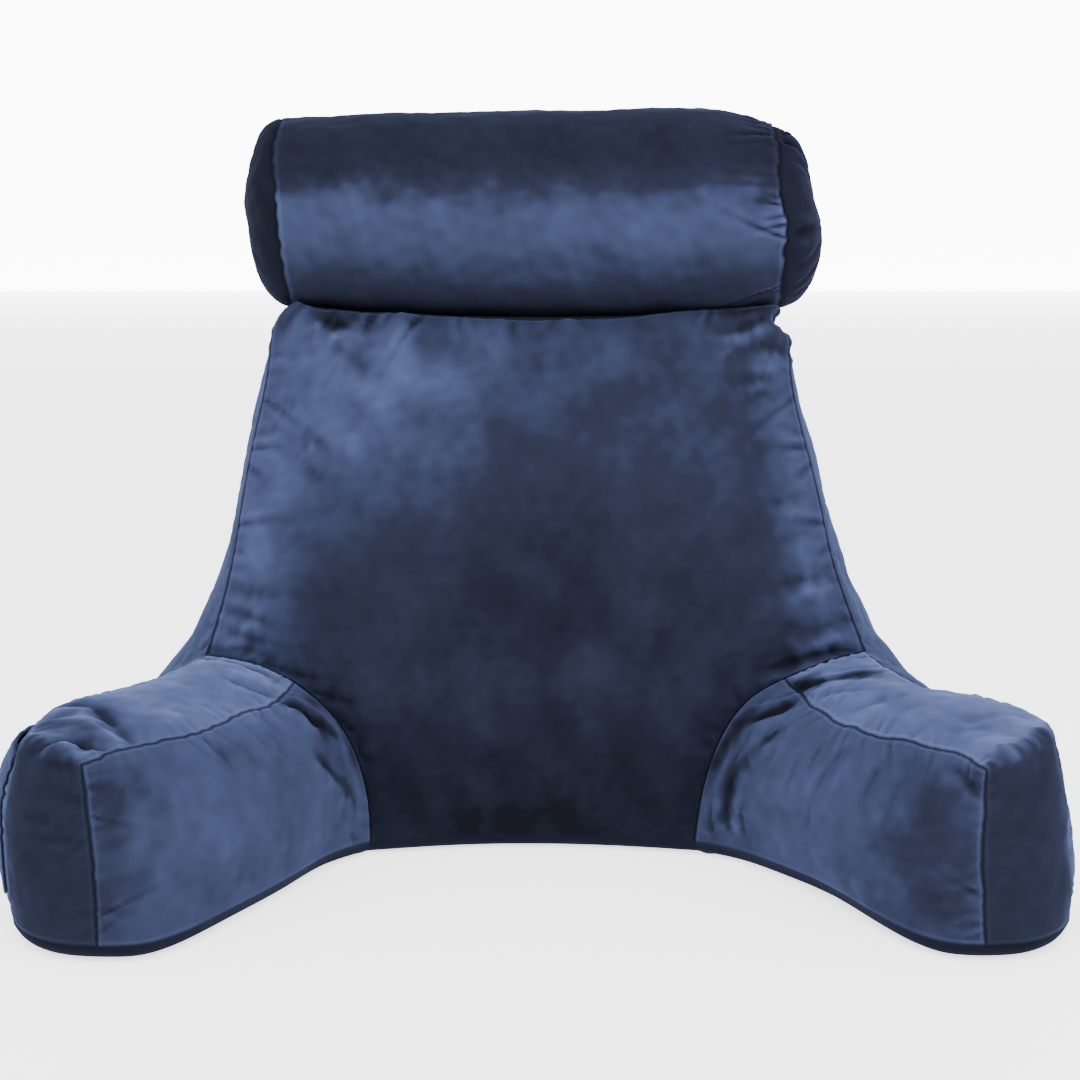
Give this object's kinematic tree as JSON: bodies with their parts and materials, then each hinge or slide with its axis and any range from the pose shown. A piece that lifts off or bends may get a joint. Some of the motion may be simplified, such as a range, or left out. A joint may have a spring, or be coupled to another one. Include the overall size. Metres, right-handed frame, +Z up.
{
  "type": "reading pillow with arms",
  "caption": "Stuffed velvet reading pillow with a tapered backrest, splayed arms, a neck roll along its top and a flat pocket on an arm's outer side.",
  "frame": {"origin": "middle of the bounding box's underside, on the surface that the pillow stands on", "axes": "+X to the sitter's left, +Y from the sitter back through the backrest, +Z up"},
  "size_m": [0.789, 0.4712, 0.5913],
  "materials": {
    "velvet": "short-pile velvet"
  },
  "bodies": {
    "root": {"backrest": "velvet", "arm_left": "velvet", "arm_right": "velvet", "neck_roll": "velvet", "side_pocket": "velvet"}
  },
  "joints": []
}
